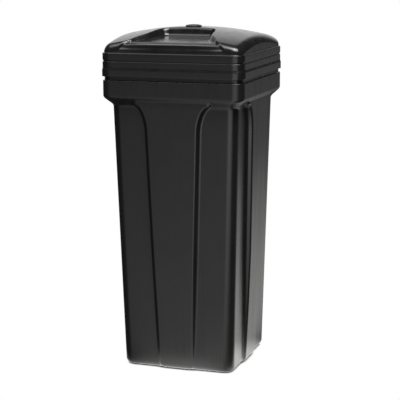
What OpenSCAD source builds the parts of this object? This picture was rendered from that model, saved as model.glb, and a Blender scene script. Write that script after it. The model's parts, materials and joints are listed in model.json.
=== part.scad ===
// Square lidded ash bin: moulded body, lift-off lid, steel liner and cast-iron ballast.
// Origin: centre of the base on the ground. Front is -Y, up is +Z.

/* [Body] */
// Width across the collar, and depth: the bin is square
body_w = 356; // [300:1:430]
// Height of the body from the ground to the top of the collar
body_h = 714; // [590:1:860]
// Thickness of the moulded wall
wall = 4; // [3:0.5:5]
// Thickness of the body's floor
floor_t = 5; // [4:0.5:8]
// How far the floor's underside is pushed up
base_recess = 5; // [2:0.5:10]
// Radius of the bottom edge
base_r = 14; // [8:1:18]
// Corner radius of the collar and the lid
collar_r = 27; // [24:1:34]
// Height of the collar's upright band
collar_h = 41; // [30:1:55]
// How far the corner posts are set in from the collar
post_inset = 19.3; // [15:0.1:22]
// How far the posts lean in between the collar and the ground
post_lean = 17.3; // [8:0.1:20]
// Corner radius of the posts
post_r = 24; // [20:1:28]

/* [Panels] */
// Width of each raised panel at the foot of its arch
panel_w_top = 123; // [90:1:126]
// Width of each raised panel at the ground
panel_w_base = 80; // [60:1:90]
// How far the panels stand out from the posts at the top
panel_rise = 14; // [8:0.5:16]
// How far they stand out at the ground
panel_rise_base = 4; // [2:0.5:6]
// How far the arch over each post spreads the panel
arch_w = 34; // [20:1:36]
// Height of that arch
arch_h = 74; // [50:1:90]

/* [Neck] */
// Height of the neck above the collar
neck_h = 43; // [40:1:50]
// How far the neck is set in from the collar
neck_inset = 4.2; // [4:0.1:6]

/* [Lid] */
// Gap between the collar's top and the lid's lower edge
lid_gap = 9; // [4:1:14]
// Height of the lid's skirt
skirt_h = 56.3; // [52:0.1:64]
// How far the skirt's lowest band stands out past the collar
hem_out = 1.8; // [1:0.1:3]
// Height of the lowest band
hem_h = 20.5; // [16:0.5:24]
// Width of the step between the skirt and the crown
crown_step = 3.6; // [2:0.1:5]
// Height of the crown's top above the skirt
crown_h = 55.7; // [50:0.1:64]
// Fall of the crown from its centre to its side edges
crown_fall_x = 19.7; // [10:0.1:22]
// Fall of the crown from its centre to its front and back edges
crown_fall_y = 21.3; // [10:0.1:22]
// Radius of the crown's edge
crown_edge_r = 17; // [10:1:18]
// Clearance between the lid's skirt and the neck
lid_clear = 1.8; // [1:0.1:2.5]
// Thickness of the foam gasket
gasket_t = 3; // [2:0.5:5]

/* [Scoop] */
// Width of the scoop at its back wall
scoop_w_back = 143; // [100:1:160]
// Width of the scoop at the lid's front
scoop_w_front = 236; // [180:1:250]
// Distance from the crown's centre forward to the back wall
scoop_back = 30.5; // [27:0.5:60]
// Depth of the scoop's back wall
scoop_depth = 21; // [14:0.5:24]
// Fall of the scoop's floor towards the front
scoop_fall = 9; // [4:0.5:10]
// Radius in the scoop's back corners
scoop_r = 20; // [12:1:26]

/* [Plug] */
// Diameter of the crown plug
plug_d = 40; // [30:1:46]
// Height of the plug's cap
plug_h = 5; // [3:0.5:8]
// Diameter of the plug's stem
plug_stem_d = 22; // [14:1:26]

/* [Liner] */
// Gap between the liner and the foot of the body's wall
liner_gap = 4.4; // [3:0.1:20]
// Depth of the liner's rim below the top of the collar
liner_drop = 76; // [60:1:200]
// Thickness of the liner's sheet
sheet = 1.2; // [0.8:0.1:2]
// Corner radius of the liner
liner_r = 22; // [14:1:30]
// Height of the flange on the liner's base
pan_h = 14; // [8:1:24]
// Diameter of the wire in the rolled rim
rim_wire_d = 6; // [4:0.5:8]

/* [Handles] */
// Diameter of the bail wire
bail_d = 6; // [5:0.5:8]
// Width between the bail's arms
bail_w = 88; // [76:1:110]
// Reach of the bail from its pivot to its bar
bail_reach = 75; // [60:1:84]
// Diameter of the grip
grip_d = 16; // [12:0.5:17]
// Length of the grip
grip_len = 56; // [40:1:60]
// Thickness of the handle plates
plate_t = 3; // [2:0.5:4]
// Diameter of the rivets
rivet_d = 5; // [4:0.5:6]

/* [Ballast] */
// Gap between the cast-iron ballast weight and the foot of the body's wall
ballast_gap = 12.4; // [11:0.1:40]
// Height of the ballast weight
ballast_h = 40; // [36:1:70]
// Depth of the hand pockets in its top
pocket_depth = 30; // [26:1:32]
// Diameter of the lifting bars
lift_d = 10; // [8:1:14]
// Diameter of the rubber pads
pad_d = 30; // [24:1:40]
// Thickness of the rubber pads
pad_h = 8; // [6:1:14]
// Diameter of the pad screws
screw_d = 5; // [4:0.5:6]

/* [Hidden] */
$fn = 48;
half = body_w / 2;
neck_half = half - neck_inset;
neck_top = body_h + neck_h;
base_half = half - post_inset - post_lean;
shoulder_z = body_h - collar_h - post_inset;
arch_z = shoulder_z + 6 - arch_h;
fit = 0.2;

// Lid levels, from the skirt's lower edge up.
lid_z = body_h + lid_gap;
hem_z = lid_z + hem_h;
groove_z = hem_z + 16.5;
skirt_z = lid_z + skirt_h;
crown_half = half - crown_step;
crown_z = skirt_z + crown_h;
skirt_in = neck_half + lid_clear;
shoulder_in = neck_half - wall - 0.5;
lid_shoulder_z = neck_top + fit + gasket_t;
gasket_half = skirt_in - 0.6;

// Levels inside the body.
inner_floor_z = base_recess + floor_t;
pad_z = inner_floor_z + ballast_h;
foot_half = base_half - wall;
liner_z = pad_z + pad_h;
liner_half = foot_half - liner_gap;
sheet_in = liner_half - sheet;
rim_z = body_h - liner_drop;
liner_h = rim_z + 2 - liner_z;
rim_bore_r = rim_wire_d / 2 + 0.1;
rim_r = rim_bore_r + sheet;

// Handles: each pivots on an axis along Y, close to the side wall.
pivot_z = rim_z - 20;
pivot_off = grip_d / 2 + 1;
pivot_x = sheet_in - pivot_off;
knuckle_wall = 3;
knuckle_r = bail_d / 2 + knuckle_wall;
knuckle_len = 20;
knuckle_y = bail_w / 2 + bail_d / 2 + 1;
bail_clear = 0.8;
plate_len = 2 * (knuckle_y + knuckle_len) + 8;
plate_h = 42;
plate_z = pivot_z - 28;
rivet_y = 25;
rivet_zs = [plate_z + 9, plate_z + plate_h - 11];

// Ballast fittings.
ballast_half = foot_half - ballast_gap;
pocket = [50, 90, pocket_depth];
pocket_inset = 58;
pocket_x = ballast_half - pocket_inset;
lift_z = pad_z - lift_d / 2 - 3;
lift_len = pocket[1] + 40;
pad_inset = 28;
pad_pos = ballast_half - pad_inset;
screw_len = 24;
screw_sink = 3.5;

// Section of a panel's edge: a convex edge, a short wall and a concave foot, as
// [offset outwards from the edge line, share of the rise].
edge_r = 6;
foot_r = 8;
edge_draft = 15;
turn = 90 - edge_draft;
edge_drop = edge_r * (1 - cos(turn));
foot_drop = foot_r * (1 - cos(turn));
edge_run = edge_r * sin(turn);
wall_run = max(0, panel_rise - edge_drop - foot_drop) * tan(edge_draft);
foot_end = edge_run + wall_run + foot_r * sin(turn);
function edge_points(n) = concat(
    [for (i = [0:n]) let (a = turn * i / n)
        [edge_r * sin(a) - edge_run / 2, 1 - edge_r * (1 - cos(a)) / (edge_drop + foot_drop)]],
    [for (i = [n:-1:0]) let (a = turn * i / n)
        [foot_end - edge_run / 2 - foot_r * sin(a), foot_r * (1 - cos(a)) / (edge_drop + foot_drop)]]);

// Plan sizes of the body at height z.
function post_half(z) = base_half + post_lean * min(1, max(0, z / shoulder_z));
function smooth_min(a, b, k) = let (h = min(1, max(0, 0.5 + (b - a) / (2 * k))))
    b + (a - b) * h - k * h * (1 - h);
function smooth_max(a, b, k) = -smooth_min(-a, -b, k);
function slope_half(z) = smooth_min(half, half - (body_h - collar_h - z), 5);
function rise_at(z) = panel_rise_base + (panel_rise - panel_rise_base) * pow(min(1, z / (0.5 * arch_z)), 0.6);
function panel_half(z) = z < arch_z
    ? (panel_w_base + (panel_w_top - panel_w_base) * z / arch_z) / 2
    : panel_w_top / 2 + arch_w * (1 - sqrt(max(0, 1 - pow(min(1, (z - arch_z) / arch_h), 2))));
function corner_r(z) = z < shoulder_z ? post_r : min(collar_r, post_r + (z - shoulder_z) / 8);
function base_in(z, r) = z < r ? r - sqrt(r * r - (r - z) * (r - z)) : 0;

// One quarter of a body ring, its +X face and the corner after it, at an inward offset.
function quarter(z, off) =
    let (post = smooth_max(post_half(z), slope_half(z), 4) - off,
         r = max(3, corner_r(z) - off),
         c = panel_half(z) - off,
         flat = post - r,
         n = len(edge),
         all = [for (i = [0:2 * n - 1]) let (e = edge[i < n ? n - 1 - i : i - n])
             [(i < n ? -1 : 1) * min(c + e[0], flat - 0.1), e[1]]])
    concat(
        [[post, -flat]],
        [for (p = all) [smooth_max(post_half(z) + rise_at(z) * p[1], slope_half(z), 4) - off, p[0]]],
        corner_points(flat, r));
function corner_points(flat, r) = [for (i = [0:turns - 1]) let (a = 90 * i / turns)
    [flat + r * cos(a), flat + r * sin(a)]];
function turned(pts, a) = [for (p = pts) [p[0] * cos(a) - p[1] * sin(a), p[0] * sin(a) + p[1] * cos(a)]];
function full_ring(q, z) = [for (k = [0:3]) for (p = turned(q, 90 * k)) [p[0], p[1], z]];
function body_ring(z, off) = full_ring(quarter(z, off), z);

// A plain rounded-square ring with the same number of points as a body ring.
function plain_ring(h, r, z) =
    let (flat = h - r, m = 2 * len(edge))
    full_ring(concat([for (i = [0:m]) [h, -flat + 2 * flat * i / (m + 1)]], corner_points(flat, r)), z);

// A closed solid through a list of rings. Each end is closed by a fan round its centre.
module ring_solid(rings) {
    n = len(rings[0]);
    m = len(rings);
    points = concat([for (r = rings) for (p = r) p], [middle(rings[0]), middle(rings[m - 1])]);
    faces = [for (i = [0:n - 1]) let (k = (i + 1) % n, last = (m - 1) * n)
        for (t = concat(
            [for (j = [0:m - 2]) for (u = [[j * n + i, (j + 1) * n + k, j * n + k],
                                           [j * n + i, (j + 1) * n + i, (j + 1) * n + k]]) u],
            [[i, k, m * n], [last + k, last + i, m * n + 1]])) t];
    polyhedron(points, faces, convexity = 6);
}
function middle(ring) = [0, 0, ring[0][2]];

module rounded_square(w, r) {
    offset_w = w / 2 - r;
    union() {
        square([w, w - 2 * r], center = true);
        square([w - 2 * r, w], center = true);
        for (x = [-1, 1], y = [-1, 1]) translate([x * offset_w, y * offset_w]) circle(r);
    }
}

edge = edge_points(2);
turns = 5;

module body() {
    steps = 3;
    recess_half = base_half - base_r - 10;
    inner_r = base_r - wall;
    shaft = [for (i = [1:6]) base_r + (arch_z - base_r) * i / 7];
    arch = [for (i = [0:8]) arch_z + arch_h * sin(84 * i / 8)];
    shoulder = [for (i = [0:5]) arch_z + arch_h + 1 + (body_h - collar_h + 6 - arch_z - arch_h) * i / 5];
    mouth = [[half, -3], [half - 0.9, -0.9], [half - 3, 0], [neck_half, 0], [neck_half, neck_h - 1.2],
             [neck_half - 1.2, neck_h], [neck_half - wall + 1.2, neck_h], [neck_half - wall, neck_h - 1.2],
             [neck_half - wall, 0], [half - wall, -5]];
    inner_shaft = [for (i = [0:4]) arch_z - (arch_z - inner_floor_z - inner_r) * i / 4];
    color("#2b2b2c") ring_solid(concat(
        [plain_ring(recess_half - base_recess, 20, base_recess), plain_ring(recess_half, 20, 0)],
        [for (i = [0:steps]) let (z = base_r - base_r * cos(90 * i / steps)) body_ring(z, base_in(z, base_r))],
        [for (z = concat(shaft, arch, shoulder)) body_ring(z, 0)],
        [for (p = mouth) plain_ring(p[0], collar_r - (half - p[0]), body_h + p[1])],
        [for (i = [2:-1:0]) body_ring(body_h - collar_h - 7 + 7 * i, wall)],
        [for (i = [5:-1:1]) body_ring(arch_z + arch_h * sin(80 * i / 5), wall)],
        [for (z = inner_shaft) body_ring(z, wall)],
        [for (i = [2:-1:0]) let (z = inner_r - inner_r * cos(90 * i / 3))
            body_ring(inner_floor_z + z, wall + base_in(z, inner_r))],
        [plain_ring(recess_half, 20, inner_floor_z)]));
}

// Height of the crown above the ground at a point in plan.
function crown_at(x, y) = crown_z - crown_fall_x * pow(x / crown_half, 2)
    - crown_fall_y * pow(y / crown_half, 2);
function crown_ring(h, r, drop) = [for (p = plain_ring(h, r, 0)) [p[0], p[1], crown_at(p[0], p[1]) - drop]];

// The crown's rings from its edge inwards, at an offset inside the outer surface.
function crown_rings(off) = let (e = crown_edge_r - off, top = crown_half - off, r = collar_r - crown_step - off)
    concat(
        [for (i = [0:4]) let (a = 90 * i / 4, d = e * (1 - cos(a)))
            crown_ring(top - d, max(4, r - d), off + e * (1 - sin(a)))],
        [for (s = [0.8, 0.6, 0.4, 0.2, 0.02]) crown_ring((top - e) * s, max(4, r - e) * s, off)]);

// The scoop's hollow, grown on every side by an offset: four stretches from the back
// wall to past the lid's front, where the floor turns down over the lip.
module scoop_space(off) {
    reach = crown_half - scoop_back;
    back_z = crown_at(0, -scoop_back) - scoop_depth;
    stations = [[0, 0, 0], [0.35, 0.18, 0], [0.6, 0.5, 0], [0.86, 1, 3.5], [1.1, 1.35, 6.5]];
    module station(p) {
        x = (scoop_w_back + (scoop_w_front - scoop_w_back) * p[1]) / 2 - scoop_r;
        z = back_z - scoop_fall * p[0] - p[2];
        for (s = [-1, 1]) translate([s * x, -scoop_back - scoop_r - reach * p[0], z - off])
            cylinder(h = 60, r1 = scoop_r - 4 + off, r2 = scoop_r + 12 + off, $fn = 32);
    }
    for (i = [0:3]) hull() {
        station(stations[i]);
        station(stations[i + 1]);
    }
}

module lid() {
    hem_half = half + hem_out;
    groove = 1.5;
    outer = [[hem_half - 1.5, lid_z], [hem_half, lid_z + 1.5], [hem_half, hem_z - 1.6], [half + 0.2, hem_z],
             [half + 0.2, groove_z - 1.4], [half - groove, groove_z], [half - groove, groove_z + 1.6],
             [half + 0.2, groove_z + 3], [half + 0.2, skirt_z - 2], [half - 1.8, skirt_z],
             [crown_half, skirt_z + 0.4]];
    inner = [[skirt_in, lid_z - 1], [skirt_in, lid_shoulder_z], [shoulder_in, lid_shoulder_z + 0.01],
             [crown_half - wall, skirt_z + 0.4]];
    color("#303031") difference() {
        ring_solid(concat(
            [for (p = outer) plain_ring(p[0], collar_r + p[0] - half, p[1])],
            crown_rings(0)));
        difference() {
            ring_solid(concat(
                [for (p = inner) plain_ring(p[0], collar_r + p[0] - half, p[1])],
                crown_rings(wall)));
            scoop_space(wall);
        }
        scoop_space(0);
        translate([0, 0, crown_z - 20]) cylinder(h = 40, d = plug_stem_d + 2 * fit);
    }
}

module crown_plug() {
    seat = crown_z;
    rim_h = 1.6;
    dome = [for (i = [0:5]) let (t = i / 5)
        [plug_d / 2 * cos(90 * t), seat + rim_h + (plug_h - rim_h) * sin(90 * t)]];
    color("#1d1d1e") rotate_extrude() polygon(concat([
        [0, seat - wall - 8], [plug_stem_d / 2 - 2, seat - wall - 8],
        [plug_stem_d / 2, seat - wall - 3], [plug_stem_d / 2, seat],
        [plug_d / 2, seat]], dome));
}

module lid_gasket() {
    color("#3a3a3a") translate([0, 0, neck_top + fit]) linear_extrude(gasket_t) difference() {
        rounded_square(2 * gasket_half, collar_r + gasket_half - half);
        rounded_square(2 * shoulder_in, collar_r + shoulder_in - half);
    }
}

module liner_shell() {
    color("#b9bdc0") difference() {
        translate([0, 0, liner_z]) linear_extrude(liner_h) difference() {
            rounded_square(2 * liner_half, liner_r);
            rounded_square(2 * sheet_in, liner_r - sheet);
        }
        rivet_axes() cylinder(h = 2 * plate_t + 8, d = rivet_d, center = true);
    }
}

module liner_base() {
    color("#aeb2b6") translate([0, 0, liner_z]) difference() {
        linear_extrude(pan_h) rounded_square(2 * sheet_in, liner_r - sheet);
        translate([0, 0, sheet]) linear_extrude(pan_h) rounded_square(2 * (sheet_in - sheet), liner_r - 2 * sheet);
    }
}

// Sweeps a round section, given in 2D, round the liner's mouth outside its wall.
module round_mouth() {
    c = liner_half + rim_r;
    corner = liner_r + rim_r;
    flat = c - corner;
    translate([0, 0, rim_z]) for (k = [0:3]) rotate([0, 0, 90 * k]) {
        translate([c, flat, 0]) rotate([90, 0, 0]) linear_extrude(2 * flat) children();
        translate([flat, flat, 0]) rotate_extrude(angle = 90) translate([corner, 0]) children();
    }
}

module liner_rim() {
    color("#c2c6c9") round_mouth() difference() {
        circle(rim_r);
        circle(rim_bore_r);
    }
}

module rim_wire() {
    color("#8d9195") round_mouth() circle(rim_wire_d / 2);
}

// Places its children on the rivets' axes, with +Z pointing out through the side wall.
module rivet_axes() {
    for (s = [-1, 1]) one_side_rivets(s) children();
}
module one_side_rivets(s) {
    for (y = [-rivet_y, rivet_y], z = rivet_zs)
        translate([s * sheet_in, y, z]) rotate([0, 90 * s, 0]) children();
}

// The right handle's pieces; the left ones are their mirror image.
module handle_plate() {
    difference() {
        union() {
            translate([sheet_in - plate_t, -plate_len / 2, plate_z]) cube([plate_t, plate_len, plate_h]);
            for (s = [-1, 1]) translate([pivot_x, s * (knuckle_y + knuckle_len / 2), pivot_z]) {
                rotate([90, 0, 0]) cylinder(h = knuckle_len, r = knuckle_r, center = true);
                translate([0, -knuckle_len / 2, -knuckle_r])
                    cube([pivot_off - plate_t / 2, knuckle_len, 2 * knuckle_r]);
            }
        }
        for (s = [-1, 1]) translate([pivot_x, s * (knuckle_y + knuckle_len / 2), pivot_z])
            rotate([90, 0, 0]) cylinder(h = knuckle_len + 2, d = bail_d + bail_clear, center = true);
        one_side_rivets(1) cylinder(h = 2 * plate_t + 8, d = rivet_d, center = true);
    }
}
module handle_plate_right() { color("#9ea2a6") handle_plate(); }
module handle_plate_left() { color("#9ea2a6") mirror([1, 0, 0]) handle_plate(); }

module plate_rivets() {
    head_d = 1.9 * rivet_d;
    head_t = 2;
    color("#d0d3d5") rivet_axes() {
        translate([0, 0, -plate_t - head_t]) cylinder(h = head_t, d = head_d);
        translate([0, 0, -plate_t]) cylinder(h = plate_t + sheet, d = rivet_d);
        translate([0, 0, sheet]) cylinder(h = head_t, d = head_d);
    }
}

// The bail hangs straight down from its pivot.
module bail() {
    r = bail_d / 2;
    bend = 12;
    arm_y = bail_w / 2;
    pin_len = knuckle_y + knuckle_len + 2 - arm_y;
    for (s = [-1, 1]) {
        translate([pivot_x, s * (arm_y + pin_len / 2), pivot_z]) rotate([90, 0, 0])
            cylinder(h = pin_len, r = r, center = true);
        translate([pivot_x, s * arm_y, pivot_z]) sphere(r);
        translate([pivot_x, s * arm_y, pivot_z - bail_reach + bend]) cylinder(h = bail_reach - bend, r = r);
    }
    translate([pivot_x, 0, pivot_z - bail_reach]) {
        rotate([90, 0, 0]) cylinder(h = bail_w - 2 * bend, r = r, center = true);
        for (s = [0, 1]) mirror([0, s, 0]) translate([0, arm_y - bend, bend]) rotate([0, 90, 0])
            rotate_extrude(angle = 90) translate([bend, 0]) circle(r);
    }
}
module bail_right() { color("#a9adb0") bail(); }
module bail_left() { color("#a9adb0") mirror([1, 0, 0]) bail(); }

module grip() {
    translate([pivot_x, 0, pivot_z - bail_reach]) rotate([90, 0, 0]) difference() {
        cylinder(h = grip_len, d = grip_d, center = true);
        cylinder(h = grip_len + 2, d = bail_d, center = true);
    }
}
module grip_right() { color("#1c1c1c") grip(); }
module grip_left() { color("#1c1c1c") mirror([1, 0, 0]) grip(); }

module pad_places() {
    for (x = [-1, 1], y = [-1, 1]) translate([x * pad_pos, y * pad_pos, pad_z]) children();
}

module liner_pads() {
    color("#202020") pad_places() difference() {
        cylinder(h = pad_h, d = pad_d);
        translate([0, 0, -1]) cylinder(h = pad_h + 2, d = screw_d);
        translate([0, 0, pad_h - screw_sink]) cylinder(h = screw_sink + 1, d = 2 * screw_d);
    }
}

module pad_screws() {
    head_t = 2.5;
    color("#c8cacc") pad_places() difference() {
        union() {
            translate([0, 0, pad_h - screw_sink]) cylinder(h = head_t, d = 2 * screw_d - 0.4);
            translate([0, 0, pad_h - screw_sink - screw_len]) cylinder(h = screw_len, d = screw_d);
        }
        translate([0, 0, pad_h - screw_sink + 1]) cylinder(h = 3, d = 3.5, $fn = 6);
    }
}

module lift_axes() {
    for (s = [-1, 1]) translate([s * pocket_x, 0, lift_z]) rotate([90, 0, 0]) children();
}

module ballast_weight() {
    color("#4a4b4c") difference() {
        translate([0, 0, inner_floor_z]) linear_extrude(ballast_h) rounded_square(2 * ballast_half, 16);
        for (s = [-1, 1]) translate([s * pocket_x, 0, pad_z - pocket[2] / 2 + 1])
            cube([pocket[0], pocket[1], pocket[2] + 2], center = true);
        lift_axes() cylinder(h = lift_len, d = lift_d, center = true);
        pad_places() translate([0, 0, pad_h - screw_sink - screw_len]) cylinder(h = screw_len + 10, d = screw_d);
    }
}

module lifting_bar(s) {
    translate([s * pocket_x, 0, lift_z]) rotate([90, 0, 0])
        cylinder(h = lift_len, d = lift_d, center = true);
}
module lifting_bar_left() { color("#7c7f82") lifting_bar(-1); }
module lifting_bar_right() { color("#7c7f82") lifting_bar(1); }

body();
lid();
crown_plug();
lid_gasket();
liner_shell();
liner_base();
liner_rim();
rim_wire();
handle_plate_left();
handle_plate_right();
plate_rivets();
bail_left();
bail_right();
grip_left();
grip_right();
liner_pads();
pad_screws();
ballast_weight();
lifting_bar_left();
lifting_bar_right();
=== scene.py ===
"""Square lidded ash bin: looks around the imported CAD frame.

The moulded body, the lid and the handle grips are rebuilt as finer meshes on the CAD's sizes,
with a smoother scoop than the CAD's; every other CAD node stays and gets its material. Shapes
are worked out in millimetres.
"""
import json
import math

import bpy
import numpy as np
from mathutils import Matrix, Vector


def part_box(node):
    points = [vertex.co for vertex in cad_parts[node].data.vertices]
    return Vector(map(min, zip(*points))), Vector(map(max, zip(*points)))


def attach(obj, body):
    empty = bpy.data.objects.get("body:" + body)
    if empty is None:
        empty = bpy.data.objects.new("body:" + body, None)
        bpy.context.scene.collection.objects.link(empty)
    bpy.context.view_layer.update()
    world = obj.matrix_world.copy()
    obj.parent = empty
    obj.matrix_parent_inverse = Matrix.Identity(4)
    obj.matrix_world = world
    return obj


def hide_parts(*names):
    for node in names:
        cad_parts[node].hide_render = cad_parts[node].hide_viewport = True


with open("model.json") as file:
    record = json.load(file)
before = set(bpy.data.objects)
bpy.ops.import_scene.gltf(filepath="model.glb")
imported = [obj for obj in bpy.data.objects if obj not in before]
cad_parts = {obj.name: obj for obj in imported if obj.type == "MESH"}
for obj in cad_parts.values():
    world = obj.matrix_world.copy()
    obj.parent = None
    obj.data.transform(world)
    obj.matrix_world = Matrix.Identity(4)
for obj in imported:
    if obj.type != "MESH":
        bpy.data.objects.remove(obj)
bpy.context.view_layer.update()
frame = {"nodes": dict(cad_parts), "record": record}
MM = 0.001

# Levels and widths that come from the frame, in millimetres.
body_high = np.array(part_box("body")[1]) / MM
lid_low, lid_high = (np.array(corner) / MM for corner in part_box("lid"))
gasket_high = np.array(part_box("lid_gasket")[1]) / MM
grip_low, grip_high = (np.array(corner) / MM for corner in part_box("grip_right"))

# Body.
HALF = float(body_high[0])
NECK_TOP = float(body_high[2])
NECK_H = 43.0
NECK_INSET = 4.2
WALL = 4.0
FLOOR_T = 5.0
BASE_RECESS = 5.0
BASE_R = 14.0
UNDERSIDE_R = 20.0
UNDERSIDE_RIM = 10.0
COLLAR_R = 27.0
COLLAR_H = 41.0
POST_INSET = 19.3
POST_LEAN = 17.3
POST_R = 24.0
BODY_H = NECK_TOP - NECK_H
NECK_HALF = HALF - NECK_INSET
BASE_HALF = HALF - POST_INSET - POST_LEAN
SHOULDER_Z = BODY_H - COLLAR_H - POST_INSET
INNER_FLOOR_Z = BASE_RECESS + FLOOR_T

# Raised panels. Each edge is a rounded brow, a steep wall and a rounded foot.
PANEL_W_TOP = 123.0
PANEL_W_BASE = 80.0
PANEL_RISE = 14.0
PANEL_RISE_BASE = 4.0
ARCH_W = 34.0
ARCH_H = 74.0
ARCH_Z = SHOULDER_Z + 6 - ARCH_H
EDGE_R = 6.0
FOOT_R = 8.0
EDGE_TURN = math.radians(75)

# Lid.
LID_Z = float(lid_low[2])
HEM_HALF = float(lid_high[0])
HEM_Z = LID_Z + 20.5
HEM_SLOPE_H = 3.0
GROOVE_DEPTH = 1.6
GROOVE_LIP = 1.4
GROOVE_Z = HEM_Z + 16.5
SKIRT_Z = LID_Z + 56.3
CROWN_HALF = HALF - 3.6
CROWN_Z = SKIRT_Z + 55.7
CROWN_FALL_X = 19.7
CROWN_FALL_Y = 21.3
CROWN_EDGE_R = 17.0
SKIRT_IN = NECK_HALF + 1.8
SHOULDER_IN = NECK_HALF - WALL - 0.5
LID_SHOULDER_Z = float(gasket_high[2])

# Scoop in the crown. Pairs are where a change starts and ends: AHEAD in front of the lid's
# middle, Z above the ground. ROLL is the width over which a corner is rounded.
SCOOP_BACK = 29.6
SCOOP_R = 22.0
SCOOP_HALF_BACK = 70.0
SCOOP_SPLAY = 0.17
SCOOP_FLARE = 32.0
FLARE_AHEAD = (105, 185)
SCOOP_FLOOR_Z = 813.2
SCOOP_SLOPE = 0.072
SCOOP_WALL_SLOPE = 2.7
SCOOP_WALL_SET = 6.0
RIM_ROLL = 11.0
RIM_AHEAD = (120, 165)
TOE_ROLL = 10.0
TOE_AHEAD = (105, 150)
LIP_ROLL = 2.2
SCOOP_CENTRE_Y = -104.0
RISER_H = 2.6
RISER_AHEAD = (153.5, 157.0)
LEDGE_SLOPE = 0.07
MOUTH_HALF = 132.0
MOUTH_Z = 791.0
MOUTH_RECESS = 3.4
MOUTH_LEAN = 0.8
MOUTH_AHEAD = (150, 172)
MOUTH_RECESS_Z = (786, 794)


def smooth_min(a, b, k):
    """The lower of a and b, with the corner between them rounded over a width k."""
    h = np.clip(0.5 + (b - a) / (2 * k), 0, 1)
    return b + (a - b) * h - k * h * (1 - h)


def smooth_max(a, b, k):
    """The higher of a and b, rounded over a width k."""
    return -smooth_min(-np.asarray(a, float), -np.asarray(b, float), k)


def ease(x, low, high):
    """0 below low, 1 above high, and a smooth S between."""
    t = np.clip((np.asarray(x, float) - low) / (high - low), 0, 1)
    return t * t * (3 - 2 * t)


def make_piece(name, points, faces, body, material, stands_for):
    """A smooth-shaded mesh object from points in millimetres."""
    mesh = bpy.data.meshes.new(name)
    mesh.from_pydata((np.asarray(points) * MM).tolist(), [], faces)
    mesh.validate()
    mesh.shade_smooth()
    piece = bpy.data.objects.new(name, mesh)
    bpy.context.scene.collection.objects.link(piece)
    mesh.materials.append(material)
    normals = piece.modifiers.new("normals", "WEIGHTED_NORMAL")
    normals.mode = "FACE_AREA"
    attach(piece, body)
    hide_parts(*stands_for)
    return piece


def skin(rings, cap_start=True, cap_end=True):
    """Points and faces of a surface through rings of equal length, closed by fans at its ends."""
    count, size = len(rings), len(rings[0])
    points = [p for ring in rings for p in ring]
    faces = []
    for j in range(count - 1):
        for i in range(size):
            k = (i + 1) % size
            faces.append((j * size + i, j * size + k, (j + 1) * size + k, (j + 1) * size + i))
    for wanted, ring, first, flip in ((cap_start, rings[0], 0, True),
                                      (cap_end, rings[-1], (count - 1) * size, False)):
        if not wanted:
            continue
        middle = len(points)
        points.append(np.mean(np.asarray(ring), axis=0))
        for i in range(size):
            k = (i + 1) % size
            a, b = (first + k, first + i) if flip else (first + i, first + k)
            faces.append((a, b, middle))
    return points, faces


def rounded_path(path, radius, steps=5):
    """A path of (half width, height) points with each inner corner rounded to about radius."""
    path = [np.array(p, float) for p in path]
    made = [path[0]]
    for before, corner, after in zip(path, path[1:], path[2:]):
        to_before, to_after = before - corner, after - corner
        reach = min(radius, 0.45 * np.linalg.norm(to_before), 0.45 * np.linalg.norm(to_after))
        start = corner + to_before / np.linalg.norm(to_before) * reach
        end = corner + to_after / np.linalg.norm(to_after) * reach
        for t in np.linspace(0, 1, steps):
            made.append((1 - t) ** 2 * start + 2 * t * (1 - t) * corner + t * t * end)
    made.append(path[-1])
    return made


# ---------------------------------------------------------------- body

def edge_profile(steps=7):
    """Section of a panel's edge: offsets outwards from the edge line, and shares of the rise."""
    edge_drop = EDGE_R * (1 - math.cos(EDGE_TURN))
    foot_drop = FOOT_R * (1 - math.cos(EDGE_TURN))
    edge_run = EDGE_R * math.sin(EDGE_TURN)
    wall_run = max(0, PANEL_RISE - edge_drop - foot_drop) / math.tan(EDGE_TURN)
    foot_end = edge_run + wall_run + FOOT_R * math.sin(EDGE_TURN)
    turn = np.linspace(0, EDGE_TURN, steps)
    drop = max(PANEL_RISE, edge_drop + foot_drop)
    edge = np.stack([EDGE_R * np.sin(turn), 1 - EDGE_R * (1 - np.cos(turn)) / drop], 1)
    foot = np.stack([foot_end - FOOT_R * np.sin(turn), FOOT_R * (1 - np.cos(turn)) / drop], 1)[::-1]
    profile = np.concatenate([edge, foot])
    profile[:, 0] -= edge_run / 2
    return profile


def post_half(z):
    """Half the width over the corner posts' outer faces."""
    return BASE_HALF + POST_LEAN * min(1, max(0, z / SHOULDER_Z))


def slope_half(z):
    """The collar's sloping underside."""
    return float(smooth_min(HALF, HALF - (BODY_H - COLLAR_H - z), 5))


def rise_at(z):
    """How far a panel stands out of the posts' faces."""
    return PANEL_RISE_BASE + (PANEL_RISE - PANEL_RISE_BASE) * min(1, z / (0.5 * ARCH_Z)) ** 0.6


def panel_edge(z):
    """Half the panel's width at a height, and how far its edge line leans there."""
    if z < ARCH_Z:
        lean = (PANEL_W_TOP - PANEL_W_BASE) / 2 / ARCH_Z
        return PANEL_W_BASE / 2 + lean * z, lean
    t = min(0.995, (z - ARCH_Z) / ARCH_H)
    root = math.sqrt(1 - t * t)
    return PANEL_W_TOP / 2 + ARCH_W * (1 - root), ARCH_W / ARCH_H * t / root


def corner_radius(z):
    return POST_R if z < SHOULDER_Z else min(COLLAR_R, POST_R + (z - SHOULDER_Z) / 8)


def corner_arc(flat, r, steps=14):
    """A quarter circle in plan, from the +x side round to the +y side."""
    turn = np.linspace(0, math.pi / 2, steps + 1)[:-1]
    return np.stack([flat + r * np.cos(turn), flat + r * np.sin(turn)], 1)


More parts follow.
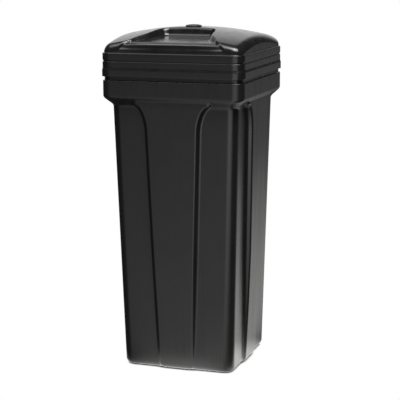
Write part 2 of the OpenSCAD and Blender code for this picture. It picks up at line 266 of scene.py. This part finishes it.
def full_turn(quarter, z):
    """Four turned copies of a quarter ring, at height z."""
    made = []
    for turn in range(4):
        c, s = round(math.cos(turn * math.pi / 2)), round(math.sin(turn * math.pi / 2))
        x, y = quarter[:, 0] * c - quarter[:, 1] * s, quarter[:, 0] * s + quarter[:, 1] * c
        made.append(np.stack([x, y, np.full(len(x), z)], 1))
    return np.concatenate(made)


EDGE = edge_profile()
PANEL_STEPS = 9
POST_STEPS = 5
FACE_POINTS = PANEL_STEPS + 2 * len(EDGE) + 2 * POST_STEPS


def body_ring(z, inset):
    """The body's outline at a height, inset by a wall or an edge radius."""
    across, lean = panel_edge(z)
    stretch = min(1.8, math.sqrt(1 + lean * lean))
    r = max(3, corner_radius(z) - inset)
    post = float(smooth_max(post_half(z), slope_half(z), 4)) - inset
    flat = post - r
    edge = np.minimum(across - inset + EDGE[:, 0] * stretch, flat - 0.1)
    inner = np.linspace(-edge[0], edge[0], PANEL_STEPS + 2)[1:-1]
    outer = np.linspace(edge[-1], flat, POST_STEPS + 1)[1:]
    along = np.concatenate([-outer[::-1], -edge[::-1], inner, edge, outer[:-1]])
    share = np.concatenate([0 * outer, EDGE[::-1, 1], 1 + 0 * inner, EDGE[:, 1], 0 * outer[:-1]])
    out = smooth_max(post_half(z) + rise_at(z) * share, slope_half(z), 4) - inset
    return full_turn(np.concatenate([np.stack([out, along], 1), corner_arc(flat, r)]), z)


def plain_ring(half, r, z, face_points=FACE_POINTS - 1, steps=14):
    """A rounded square with as many points as a body ring."""
    flat = half - r
    side = np.stack([np.full(face_points, half), np.linspace(-flat, flat, face_points + 1)[:-1]], 1)
    return full_turn(np.concatenate([side, corner_arc(flat, r, steps)]), z)


def build_body(material):
    foot = BASE_HALF - BASE_R - UNDERSIDE_RIM
    rings = [plain_ring(foot - BASE_RECESS, UNDERSIDE_R, BASE_RECESS)]
    rings.append(plain_ring(foot, UNDERSIDE_R, 0.2))
    rings.append(plain_ring(foot + 2, UNDERSIDE_R, 0))
    for turn in np.linspace(0, math.pi / 2, 12):
        z = BASE_R * (1 - math.cos(turn))
        rings.append(body_ring(z, BASE_R * (1 - math.sin(turn))))
    for z in np.linspace(BASE_R, ARCH_Z, 40)[1:]:
        rings.append(body_ring(z, 0))
    for turn in np.linspace(0, math.radians(84), 24)[1:]:
        rings.append(body_ring(ARCH_Z + ARCH_H * math.sin(turn), 0))
    for z in np.linspace(ARCH_Z + ARCH_H + 1, BODY_H - COLLAR_H + 8, 22):
        rings.append(body_ring(z, 0))
    inner_half = NECK_HALF - WALL
    mouth = rounded_path([(HALF, -26), (HALF, 0), (NECK_HALF, 0), (NECK_HALF, NECK_H),
                          (inner_half, NECK_H), (inner_half, 0), (HALF - WALL, -5)], 2.4)
    for half, rise in mouth:
        rings.append(plain_ring(half, COLLAR_R - (HALF - half), BODY_H + rise))
    for z in np.linspace(BODY_H - COLLAR_H + 7, ARCH_Z + ARCH_H + 1, 6):
        rings.append(body_ring(z, WALL))
    for turn in np.linspace(math.radians(80), 0, 10):
        rings.append(body_ring(ARCH_Z + ARCH_H * math.sin(turn), WALL))
    inner_r = BASE_R - WALL
    for z in np.linspace(ARCH_Z, INNER_FLOOR_Z + inner_r, 14)[1:]:
        rings.append(body_ring(z, WALL))
    for turn in np.linspace(math.pi / 2, 0, 6)[1:]:
        z = INNER_FLOOR_Z + inner_r * (1 - math.cos(turn))
        rings.append(body_ring(z, WALL + inner_r * (1 - math.sin(turn))))
    rings.append(plain_ring(foot, UNDERSIDE_R, INNER_FLOOR_Z))
    points, faces = skin(rings)
    return make_piece("moulded_body", points, faces, "bin", material, ["body"])


# ---------------------------------------------------------------- lid

LID_SIDE = 112
LID_CORNER = 14
ROW_GAP = 0.0035
WALL_SPAN = (-12, 8)


def lid_ring(half, z):
    """The lid's outline at a half width, its corners in step with the collar's."""
    r = max(4, COLLAR_R + half - HALF)
    return plain_ring(half, r, z, LID_SIDE, LID_CORNER)


def crown_at(x, y):
    """Height of the plain crown."""
    return CROWN_Z - CROWN_FALL_X * (x / CROWN_HALF) ** 2 - CROWN_FALL_Y * (y / CROWN_HALF) ** 2


def scoop_half(y):
    """Half the width of the line that lies the corner radius inside the scoop's outline."""
    splay = SCOOP_SPLAY * (-45 - y)
    return SCOOP_HALF_BACK + splay + SCOOP_FLARE * ease(-y, *FLARE_AHEAD) - SCOOP_R


def outside_scoop(x, y):
    """Signed plan distance outside the scoop's outline."""
    x, y = np.asarray(x, float), np.asarray(y, float)
    side_y = np.linspace(-SCOOP_BACK - SCOOP_R, -1.5 * CROWN_HALF, 36)
    side_x = scoop_half(side_y)
    line_x = np.concatenate([-side_x[::-1], side_x])
    line_y = np.concatenate([side_y[::-1], side_y])
    nearest = np.full(x.shape, 1e9)
    for i in range(len(line_x) - 1):
        ax, ay, dx, dy = line_x[i], line_y[i], line_x[i + 1] - line_x[i], line_y[i + 1] - line_y[i]
        t = np.clip(((x - ax) * dx + (y - ay) * dy) / (dx * dx + dy * dy), 0, 1)
        nearest = np.minimum(nearest, np.hypot(x - ax - t * dx, y - ay - t * dy))
    inside = (y < side_y[0]) & (np.abs(x) < np.interp(-y, -side_y, side_x))
    return np.where(inside, -nearest, nearest) - SCOOP_R


def scoop_at(x, y, grow):
    """Height of the scoop's floor and walls, grown outwards by a wall thickness."""
    ahead = -np.asarray(y, float)
    riser = RISER_H * ease(ahead, *RISER_AHEAD)
    ledge = LEDGE_SLOPE * np.maximum(0, ahead - RISER_AHEAD[1])
    floor = SCOOP_FLOOR_Z - SCOOP_SLOPE * (ahead - 50) - riser - ledge - grow
    wall = floor + (outside_scoop(x, y) - grow + SCOOP_WALL_SET) * SCOOP_WALL_SLOPE
    toe = TOE_ROLL - (TOE_ROLL - LIP_ROLL) * ease(ahead, *TOE_AHEAD)
    return smooth_max(floor, wall, toe)


def mouth_recess(ring):
    """The front face stands back a little below the scoop's mouth, between its flared edges."""
    x, y, z = ring.T
    inside = ease(MOUTH_HALF - MOUTH_LEAN * (z - MOUTH_Z) - np.abs(x), -0.5, 3.5)
    shift = MOUTH_RECESS * inside * ease(z, *MOUTH_RECESS_Z) * ease(-y, *MOUTH_AHEAD)
    return np.stack([x, y + shift, z], 1)


def top_at(x, y, drop, inset):
    """Height of the lid's top: the crown with the scoop cut into it, its rim rolled over."""
    roll = LIP_ROLL + (RIM_ROLL - LIP_ROLL) * (1 - ease(-np.asarray(y, float), *RIM_AHEAD))
    return smooth_min(crown_at(x, y) - drop, scoop_at(x, y, inset), roll)


def crown_rows(inset, floor_steps, wall_steps, crown_steps, fillet_steps):
    """Rings from the crown's side edge inwards to the middle of the scoop.

    Along each line from the scoop's middle to the rim, points crowd together on the scoop's walls.
    """
    edge_r = CROWN_EDGE_R - inset
    top_half = CROWN_HALF - inset
    rows = []
    for turn in np.linspace(0, math.pi / 2, fillet_steps):
        ring = lid_ring(top_half - edge_r * (1 - math.cos(turn)), 0)
        ring[:, 2] = top_at(ring[:, 0], ring[:, 1], inset + edge_r * (1 - math.sin(turn)), inset)
        rows.append(ring)
    rim = rows[-1]
    t = np.linspace(0, 1.6, 400)  # shares of the way out to the rim, and past it
    x = rim[:, :1] * t
    y = SCOOP_CENTRE_Y + (rim[:, 1:2] - SCOOP_CENTRE_Y) * t
    gap = outside_scoop(x, y)
    levels = np.linspace(*WALL_SPAN, wall_steps) + inset
    marks = np.array([np.interp(levels, np.maximum.accumulate(g), t) for g in gap])
    total = wall_steps + crown_steps
    latest = 1 - (total - np.arange(wall_steps)) * ROW_GAP
    marks = np.minimum(marks, latest)
    marks = np.minimum.accumulate(marks[:, ::-1], axis=1)[:, ::-1]
    floor = marks[:, :1] * np.linspace(0.04, 1, floor_steps, endpoint=False)
    rest = marks[:, -1:] + (1 - marks[:, -1:]) * np.linspace(0, 1, crown_steps + 1)[1:-1]
    stops = np.concatenate([floor, marks, rest], axis=1)
    for k in range(stops.shape[1] - 1, -1, -1):
        s = stops[:, k]
        x = rim[:, 0] * s
        y = SCOOP_CENTRE_Y + (rim[:, 1] - SCOOP_CENTRE_Y) * s
        rows.append(np.stack([x, y, top_at(x, y, inset, inset)], 1))
    return rows


def build_lid(material):
    band = HALF + 0.2
    groove = HALF - GROOVE_DEPTH
    outside = rounded_path([
        (SKIRT_IN, LID_Z), (HEM_HALF, LID_Z), (HEM_HALF, HEM_Z - HEM_SLOPE_H), (band, HEM_Z),
        (band, GROOVE_Z - GROOVE_LIP), (groove, GROOVE_Z), (groove, GROOVE_Z + GROOVE_LIP),
        (band, GROOVE_Z + 2 * GROOVE_LIP), (band, SKIRT_Z), (CROWN_HALF, SKIRT_Z),
        (CROWN_HALF, SKIRT_Z + 8)], 1.8)
    inside = [(SKIRT_IN, LID_Z + 2), (SKIRT_IN, LID_SHOULDER_Z), (SHOULDER_IN, LID_SHOULDER_Z),
              (SHOULDER_IN - 0.5, LID_SHOULDER_Z + 12), (CROWN_HALF - WALL, SKIRT_Z + 4)]
    rings = [lid_ring(half, z) for half, z in inside[::-1]]
    rings += [lid_ring(half, z) for half, z in outside[:-1]]
    inner = crown_rows(WALL, 6, 12, 10, 5)
    outer = crown_rows(0, 16, 34, 18, 14)
    shares = (0.1, 0.35, 0.6, 0.75, 0.88)
    side = [lid_ring(CROWN_HALF, 0) for _ in shares]
    for ring, share in zip(side, shares):
        ring[:, 2] = SKIRT_Z + 1 + (outer[0][:, 2] - SKIRT_Z - 1) * share
    assert outer[0][:, 2].min() > SKIRT_Z
    front = [mouth_recess(ring) for ring in side + outer]
    points, faces = skin(inner[::-1] + rings + front)
    return make_piece("moulded_lid", points, faces, "cover", material, ["lid"])


# ---------------------------------------------------------------- grips

def build_grip(side, material):
    """A ribbed plastic tube on a handle's bar."""
    length = float(grip_high[1] - grip_low[1])
    radius = float(grip_high[0] - grip_low[0]) / 2
    centre = np.array([(grip_high[0] + grip_low[0]) / 2, 0, (grip_high[2] + grip_low[2]) / 2])
    bore = 3.05
    ribs = 9
    rib_depth = 0.9
    end_round = (radius - 0.35, length / 2 - 0.3)
    end_face = (radius - 1.2, length / 2)
    along = np.linspace(-length / 2, length / 2, 181)
    wave = 0.5 - 0.5 * np.cos((along / length + 0.5) * 2 * math.pi * ribs)
    plain_end = ease(length / 2 - np.abs(along), 2, 5)
    outline = [(radius - rib_depth * w * e, y) for w, e, y in zip(wave, plain_end, along)]
    loop = [(bore, -end_face[1]), (end_face[0], -end_face[1]), (end_round[0], -end_round[1])]
    loop += outline[4:-4]
    loop += [end_round, end_face, (bore, end_face[1])]
    turns = 40
    rings = []
    for k in range(turns):
        a = 2 * math.pi * k / turns
        rings.append([centre + (r * math.cos(a), y, r * math.sin(a)) for r, y in loop])
    points, faces = skin(rings + [rings[0]], cap_start=False, cap_end=False)
    points = np.array(points)
    if side == "left":
        points[:, 0] *= -1
        faces = [f[::-1] for f in faces]
    piece = make_piece("ribbed_grip_" + side, points, faces, "handle_" + side, material,
                       ["grip_" + side])
    weld = piece.modifiers.new("weld", "WELD")
    weld.merge_threshold = 0.00001
    return piece


# ---------------------------------------------------------------- materials

def set_range(node, low, high, to_low, to_high):
    """Fills in a Map Range node's four numbers."""
    for name, number in (("From Min", low), ("From Max", high), ("To Min", to_low), ("To Max", to_high)):
        node.inputs[name].default_value = number


def vector_maths(tree, kind, value, other=None):
    """A Vector Math node on a linked vector and, where the kind takes one, a fixed vector."""
    node = tree.nodes.new("ShaderNodeVectorMath")
    node.operation = kind
    tree.links.new(value, node.inputs[0])
    if other is not None:
        node.inputs[1].default_value = other
    return node


class Shading:
    """Short names for the node work that the materials share."""

    def __init__(self, name):
        self.material = bpy.data.materials.new(name)
        self.material.use_nodes = True
        self.nodes = self.material.node_tree.nodes
        self.links = self.material.node_tree.links
        self.surface = self.nodes["Principled BSDF"]
        self.place = self.nodes.new("ShaderNodeTexCoord").outputs["Object"]

    def put(self, **values):
        for name, value in values.items():
            self.surface.inputs[name.replace("_", " ")].default_value = value

    def stretched(self, scale):
        node = self.nodes.new("ShaderNodeMapping")
        node.inputs["Scale"].default_value = scale
        self.links.new(self.place, node.inputs["Vector"])
        return node.outputs["Vector"]

    def noise(self, scale, detail=3.0, roughness=0.5, vector=None):
        node = self.nodes.new("ShaderNodeTexNoise")
        node.inputs["Scale"].default_value = scale
        node.inputs["Detail"].default_value = detail
        node.inputs["Roughness"].default_value = roughness
        self.links.new(vector or self.place, node.inputs["Vector"])
        return node.outputs["Fac"]

    def cells(self, scale, output="Color"):
        node = self.nodes.new("ShaderNodeTexVoronoi")
        node.inputs["Scale"].default_value = scale
        self.links.new(self.place, node.inputs["Vector"])
        return node.outputs[output]

    def spread(self, value, low, high, to_low, to_high):
        node = self.nodes.new("ShaderNodeMapRange")
        node.interpolation_type = "SMOOTHSTEP"
        set_range(node, low, high, to_low, to_high)
        self.links.new(value, node.inputs["Value"])
        return node.outputs["Result"]

    def maths(self, kind, a, b):
        node = self.nodes.new("ShaderNodeMath")
        node.operation = kind
        for socket, value in zip(node.inputs, (a, b)):
            if isinstance(value, (int, float)):
                socket.default_value = value
            else:
                self.links.new(value, socket)
        return node.outputs["Value"]

    def mixed(self, share, a, b):
        node = self.nodes.new("ShaderNodeMix")
        node.data_type = "RGBA"
        sockets = [s for s in node.inputs if s.type == "RGBA"]
        for socket, value in zip(sockets, (a, b)):
            if isinstance(value, tuple):
                socket.default_value = (*value, 1)
            else:
                self.links.new(value, socket)
        factor = next(s for s in node.inputs if s.type == "VALUE")
        self.links.new(share, factor)
        return next(s for s in node.outputs if s.type == "RGBA")

    def colour(self, value):
        self.links.new(value, self.surface.inputs["Base Color"])

    def roughness(self, value):
        self.links.new(value, self.surface.inputs["Roughness"])

    def bump(self, height, strength, distance, under=None):
        node = self.nodes.new("ShaderNodeBump")
        node.inputs["Strength"].default_value = strength
        node.inputs["Distance"].default_value = distance
        self.links.new(height, node.inputs["Height"])
        if under is not None:
            self.links.new(under, node.inputs["Normal"])
        self.links.new(node.outputs["Normal"], self.surface.inputs["Normal"])
        return node.outputs["Normal"]

    def facing_up(self):
        split = self.nodes.new("ShaderNodeSeparateXYZ")
        shape = self.nodes.new("ShaderNodeNewGeometry")
        self.links.new(shape.outputs["Normal"], split.inputs["Vector"])
        return split.outputs["Z"]


def moulded_plastic(name, rough):
    """Satin black polyethylene: fine pebble, faint upright flow streaks and a trace of dust."""
    s = Shading(name)
    dark = (0.0085, 0.0086, 0.0090)
    light = (0.0118, 0.0118, 0.0120)
    streaks = s.noise(1.0, 3.0, 0.55, s.stretched((55, 55, 2.2)))
    clouds = s.noise(9.0, 4.0)
    base = s.mixed(s.spread(s.maths("ADD", streaks, clouds), 0.75, 1.3, 0, 1), dark, light)
    settled = s.spread(s.facing_up(), 0.75, 1.0, 0, 0.05)
    dust = s.maths("MULTIPLY", settled, s.spread(s.noise(38), 0.35, 0.7, 0.3, 1))
    s.colour(s.mixed(dust, base, (0.10, 0.097, 0.09)))
    scuffs = s.spread(s.noise(160.0, 2.0, 0.7, s.stretched((1, 1, 0.3))), 0.66, 0.78, 0, 0.05)
    s.roughness(s.maths("ADD", s.spread(streaks, 0.3, 0.7, rough - 0.03, rough + 0.05), scuffs))
    waves = s.bump(s.noise(1.0, 1.0, 0.4, s.stretched((14, 14, 1.6))), 0.16, 0.0009)
    s.bump(s.noise(1400.0, 2.0, 0.6), 0.10, 0.00025, waves)
    s.put(IOR=1.5)
    return s.material


def matt_plastic():
    """Fine-grained black plastic for the plug and the grips."""
    s = Shading("plug_black")
    grain = s.noise(700.0, 3.0)
    s.colour(s.mixed(s.spread(s.noise(60), 0.3, 0.7, 0, 1), (0.008, 0.008, 0.0085), (0.016, 0.016, 0.016)))
    s.roughness(s.spread(grain, 0.3, 0.7, 0.38, 0.52))
    s.bump(grain, 0.15, 0.0002)
    return s.material


def galvanised_steel():
    """Hot-dip zinc: flat crystals of slightly different brightness, with fine scratches."""
    s = Shading("galvanised_zinc")
    spangle = s.cells(95.0)
    split = s.nodes.new("ShaderNodeSeparateColor")
    s.links.new(spangle, split.inputs["Color"])
    crystal = split.outputs["Red"]
    tone = s.maths("ADD", s.maths("MULTIPLY", crystal, 0.55), s.maths("MULTIPLY", s.noise(14.0, 4.0), 0.45))
    s.colour(s.mixed(s.spread(tone, 0.25, 0.8, 0, 1), (0.42, 0.44, 0.46), (0.66, 0.68, 0.70)))
    s.roughness(s.spread(tone, 0.2, 0.8, 0.48, 0.30))
    s.bump(s.noise(420.0, 2.0, 0.6, s.stretched((1, 1, 0.1))), 0.12, 0.0002)
    s.put(Metallic=0.92)
    return s.material


def bright_steel():
    """Bright zinc plate on screws and rivets."""
    s = Shading("bright_zinc_plate")
    s.colour(s.mixed(s.noise(240.0), (0.55, 0.55, 0.53), (0.72, 0.72, 0.70)))
    s.roughness(s.spread(s.noise(300.0), 0.3, 0.7, 0.2, 0.34))
    s.bump(s.noise(900.0), 0.08, 0.0001)
    s.put(Metallic=1.0)
    return s.material


def drawn_wire():
    """Steel wire with fine drawing lines."""
    s = Shading("drawn_wire")
    lines = s.noise(1.0, 2.0, 0.6, s.stretched((900, 60, 60)))
    s.colour(s.mixed(s.noise(45.0, 4.0), (0.36, 0.36, 0.37), (0.55, 0.56, 0.57)))
    s.roughness(s.spread(lines, 0.3, 0.7, 0.26, 0.42))
    s.bump(lines, 0.12, 0.0001)
    s.put(Metallic=1.0)
    return s.material


def foam():
    """Closed-cell foam strip."""
    s = Shading("closed_cell_foam")
    cell = s.cells(1100.0, "Distance")
    s.colour(s.mixed(s.spread(cell, 0.05, 0.6, 0, 1), (0.018, 0.018, 0.018), (0.055, 0.054, 0.052)))
    s.bump(cell, 0.5, 0.0005)
    s.put(Roughness=0.9)
    return s.material


def rubber():
    """Dull moulded rubber."""
    s = Shading("black_rubber")
    s.colour(s.mixed(s.noise(80.0, 4.0), (0.016, 0.016, 0.016), (0.032, 0.031, 0.030)))
    s.roughness(s.spread(s.noise(500.0), 0.3, 0.7, 0.62, 0.8))
    s.bump(s.noise(1200.0), 0.2, 0.0002)
    return s.material


def cast_iron():
    """Sand-cast iron under worn dark paint."""
    s = Shading("painted_cast_iron")
    sand = s.noise(520.0, 4.0, 0.65)
    bare = s.spread(s.noise(26.0, 6.0, 0.7), 0.60, 0.68, 0, 1)
    s.colour(s.mixed(bare, (0.045, 0.046, 0.048), (0.13, 0.085, 0.06)))
    s.roughness(s.spread(sand, 0.3, 0.7, 0.45, 0.7))
    s.bump(sand, 0.35, 0.0006)
    return s.material


def dress_frame():
    """Gives each CAD node that stays in view its material."""
    looks = {
        "plug_plastic": matt_plastic(), "foam": foam(), "galvanised": galvanised_steel(),
        "bright_steel": bright_steel(), "wire_steel": drawn_wire(), "rubber": rubber(), "iron": cast_iron(),
    }
    for row in frame["record"]["subparts"]:
        look = looks.get(row["material_slot"])
        if look is None:
            continue
        mesh = frame["nodes"][row["node"]].data
        mesh.materials.clear()
        mesh.materials.append(look)
    return looks


# ---------------------------------------------------------------- stage, light and camera

ALL_ROUND = (-1.1, -1.05)  # the edge of a sector that is a whole turn


def lobe(tree, direction, start, full, strength):
    """Brightness of one soft light patch in the surroundings."""
    coords = tree.nodes.new("ShaderNodeTexCoord")
    dot = vector_maths(tree, "DOT_PRODUCT", coords.outputs["Generated"], Vector(direction).normalized())
    ramp = tree.nodes.new("ShaderNodeMapRange")
    ramp.interpolation_type = "SMOOTHSTEP"
    set_range(ramp, start, full, 0, strength)
    tree.links.new(dot.outputs["Value"], ramp.inputs["Value"])
    return ramp.outputs["Result"]


def add_up(tree, values):
    """The sum of several values."""
    total = values[0]
    for value in values[1:]:
        node = tree.nodes.new("ShaderNodeMath")
        node.operation = "ADD"
        tree.links.new(total, node.inputs[0])
        tree.links.new(value, node.inputs[1])
        total = node.outputs["Value"]
    return total


def studio_surroundings():
    """A white sweep to look at, with softboxes and dark flats round the bin to light it."""
    world = bpy.data.worlds.new("studio")
    bpy.context.scene.world = world
    world.use_nodes = True
    tree = world.node_tree
    tree.nodes.clear()
    patches = [
        lobe(tree, (-0.42, 0.90, 0.10), 0.80, 0.94, 1.15),
        lobe(tree, (0.44, -0.22, 0.87), 0.955, 0.975, 14.0),
        lobe(tree, (0.14, -0.34, 0.93), 0.955, 0.975, 14.0),
        lobe(tree, (-0.36, -0.15, 0.92), 0.90, 0.97, 3.4),
        lobe(tree, (0, 1, 0.3), -1.0, -0.99, 0.03),
    ]
    light = tree.nodes.new("ShaderNodeBackground")
    tree.links.new(add_up(tree, patches), light.inputs["Strength"])
    sweep = tree.nodes.new("ShaderNodeBackground")
    sweep.inputs["Color"].default_value = (1, 1, 1, 1)
    out = tree.nodes.new("ShaderNodeOutputWorld")
    shader = camera_sees(tree, sweep.outputs["Background"], light.outputs["Background"])
    tree.links.new(shader, out.inputs["Surface"])


def floor_patch(tree, origin, direction, edge, reach, near, far):
    """Brightness of one painted patch of light: a glowing sector of the floor, fading with distance from
    its origin.
    """
    shape = tree.nodes.new("ShaderNodeNewGeometry")
    place = vector_maths(tree, "SUBTRACT", shape.outputs["Position"], origin)
    aim = vector_maths(tree, "NORMALIZE", place.outputs["Vector"])
    dot = vector_maths(tree, "DOT_PRODUCT", aim.outputs["Vector"], Vector(direction).normalized())
    sector = tree.nodes.new("ShaderNodeMapRange")
    sector.interpolation_type = "SMOOTHSTEP"
    set_range(sector, edge[0], edge[1], 0, 1)
    tree.links.new(dot.outputs["Value"], sector.inputs["Value"])
    length = vector_maths(tree, "LENGTH", place.outputs["Vector"])
    fade = tree.nodes.new("ShaderNodeMapRange")
    set_range(fade, reach[0], reach[1], near, far)
    tree.links.new(length.outputs["Value"], fade.inputs["Value"])
    both = tree.nodes.new("ShaderNodeMath")
    both.operation = "MULTIPLY"
    tree.links.new(sector.outputs["Result"], both.inputs[0])
    tree.links.new(fade.outputs["Result"], both.inputs[1])
    return both.outputs["Value"]


def contact_shade(tree):
    """White for the floor in view, darker only where the base comes down to it."""
    near = tree.nodes.new("ShaderNodeAmbientOcclusion")
    near.samples = 8
    near.inputs["Distance"].default_value = 0.014
    ramp = tree.nodes.new("ShaderNodeMapRange")
    set_range(ramp, 0.22, 0.45, 0.01, 1)
    tree.links.new(near.outputs["AO"], ramp.inputs["Value"])
    return ramp.outputs["Result"]


def camera_sees(tree, seen, unseen):
    """A shader that is one thing to the camera and another to reflections and bounced light."""
    path = tree.nodes.new("ShaderNodeLightPath")
    mix = tree.nodes.new("ShaderNodeMixShader")
    tree.links.new(path.outputs["Is Camera Ray"], mix.inputs["Fac"])
    tree.links.new(unseen, mix.inputs[1])
    tree.links.new(seen, mix.inputs[2])
    return mix.outputs["Shader"]


def studio_floor():
    """To the camera a plain white floor with a painted contact shadow under the base; to reflections and
    bounced light it glows in painted patches of light in front of the bin and behind it, and is dark at its
    sides.
    """
    material = bpy.data.materials.new("white_floor")
    material.use_nodes = True
    tree = material.node_tree
    tree.nodes.clear()
    middle = (0, 0, 0)
    # Painted patches of light: the floor glows here only for reflections and bounced light.
    patches = [
        floor_patch(tree, (0.14, -0.18, 0), (0.37, 0.93, 0), (0.93, 0.99), (0.4, 3.4), 1.1, 0.16),
        floor_patch(tree, middle, (0, -1, 0), (0.72, 0.93), (0.4, 3.2), 0.68, 0.42),
        floor_patch(tree, middle, (0.45, -0.89, 0), (0.88, 0.97), (0.4, 3.2), 0.25, 1.5),
        floor_patch(tree, middle, (0, -1, 0), ALL_ROUND, (0.16, 0.24), 1.6, 0.04),
    ]
    lit = tree.nodes.new("ShaderNodeEmission")
    lit.inputs["Color"].default_value = (1, 0.99, 0.975, 1)
    tree.links.new(add_up(tree, patches), lit.inputs["Strength"])
    # The floor in view: white emission, darkened by the painted contact shadow where the base comes down.
    plain = tree.nodes.new("ShaderNodeEmission")
    tree.links.new(contact_shade(tree), plain.inputs["Strength"])
    out = tree.nodes.new("ShaderNodeOutputMaterial")
    shader = camera_sees(tree, plain.outputs["Emission"], lit.outputs["Emission"])
    tree.links.new(shader, out.inputs["Surface"])
    mesh = bpy.data.meshes.new("floor")
    reach = 12
    mesh.from_pydata([(-reach, -reach, 0), (reach, -reach, 0), (reach, reach, 0), (-reach, reach, 0)],
                     [], [(0, 1, 2, 3)])
    mesh.materials.append(material)
    floor = bpy.data.objects.new("floor", mesh)
    floor.location.z = -0.0005
    bpy.context.scene.collection.objects.link(floor)


def camera():
    """A long lens, a little above the lid and to the right of the front."""
    data = bpy.data.cameras.new("camera")
    data.sensor_width = 36
    data.lens = 118.95
    data.clip_end = 60
    view = bpy.data.objects.new("camera", data)
    bpy.context.scene.collection.objects.link(view)
    forward = Vector((-0.3158, 0.9298, -0.1888)).normalized()
    right = forward.cross(Vector((0, 0, 1))).normalized()
    up = right.cross(forward)
    roll = math.radians(-0.28)
    side = right * math.cos(roll) + up * math.sin(roll)
    head = up * math.cos(roll) - right * math.sin(roll)
    turn = Matrix((side, head, -forward)).transposed().to_4x4()
    view.matrix_world = Matrix.Translation((1.0640, -3.0914, 1.0287)) @ turn
    bpy.context.scene.camera = view
    bpy.context.scene.view_settings.view_transform = "Standard"


looks = dress_frame()
build_body(moulded_plastic("body_black", 0.27))
build_lid(moulded_plastic("lid_black", 0.18))
for hand in ("left", "right"):
    build_grip(hand, looks["plug_plastic"])
studio_surroundings()
studio_floor()
camera()
